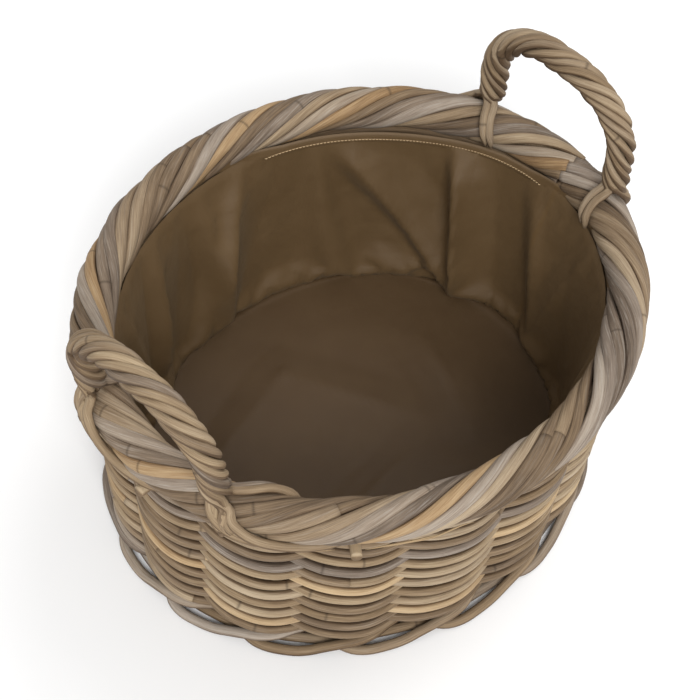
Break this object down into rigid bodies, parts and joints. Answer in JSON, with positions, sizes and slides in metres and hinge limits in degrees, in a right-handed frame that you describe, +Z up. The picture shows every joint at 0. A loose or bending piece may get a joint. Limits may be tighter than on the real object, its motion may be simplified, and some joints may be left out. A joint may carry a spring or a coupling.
{
  "type": "log basket",
  "caption": "Oval wicker log basket with a twisted rope border, fixed arched handles, a bowed foot border and a sewn fabric lining.",
  "frame": {"origin": "on the floor, under the middle of the basket", "axes": "+X from the basket's middle towards one handle, +Z up"},
  "size_m": [0.5516, 0.4764, 0.3958],
  "materials": {
    "weave_cane": "weathered matt rattan, mixed buff, brown and grey",
    "rim_cane": "weathered matt rattan, mixed buff, brown and grey",
    "handle_cane": "weathered matt rattan, buff",
    "frame_cane": "weathered matt rattan, brown",
    "lining": "coated woven nylon with a slight sheen, khaki brown"
  },
  "bodies": {
    "root": {"stake_pair_01": "frame_cane", "stake_pair_02": "frame_cane", "stake_pair_03": "frame_cane", "stake_pair_04": "frame_cane", "stake_pair_05": "frame_cane", "stake_pair_06": "frame_cane", "stake_pair_07": "frame_cane", "stake_pair_08": "frame_cane", "stake_pair_09": "frame_cane", "stake_pair_10": "frame_cane", "stake_pair_11": "frame_cane", "stake_pair_12": "frame_cane", "stake_pair_13": "frame_cane", "stake_pair_14": "frame_cane", "stake_pair_15": "frame_cane", "stake_pair_16": "frame_cane", "weave_row_01": "weave_cane", "weave_row_02": "weave_cane", "weave_row_03": "weave_cane", "weave_row_04": "weave_cane", "weave_row_05": "weave_cane", "weave_row_06": "weave_cane", "weave_row_07": "weave_cane", "weave_row_08": "weave_cane", "weave_row_09": "weave_cane", "weave_row_10": "weave_cane", "weave_row_11": "weave_cane", "foot_border": "frame_cane", "base_sticks_lower": "frame_cane", "base_sticks_upper": "frame_cane", "base_weave": "frame_cane", "rim_hoop": "rim_cane", "rim_cane_1": "rim_cane", "rim_cane_2": "rim_cane", "rim_cane_3": "rim_cane", "rim_cane_4": "rim_cane", "rim_cane_5": "rim_cane", "rim_cane_6": "rim_cane", "rim_cane_7": "rim_cane", "rim_cane_8": "rim_cane", "rim_cane_9": "rim_cane", "border_pegs": "rim_cane", "handle_core_right": "handle_cane", "handle_twist_right": "handle_cane", "handle_ties_right": "handle_cane", "handle_core_left": "handle_cane", "handle_twist_left": "handle_cane", "handle_ties_left": "handle_cane", "lining_wall": "lining", "lining_floor": "lining", "lining_hem": "lining"}
  },
  "joints": []
}
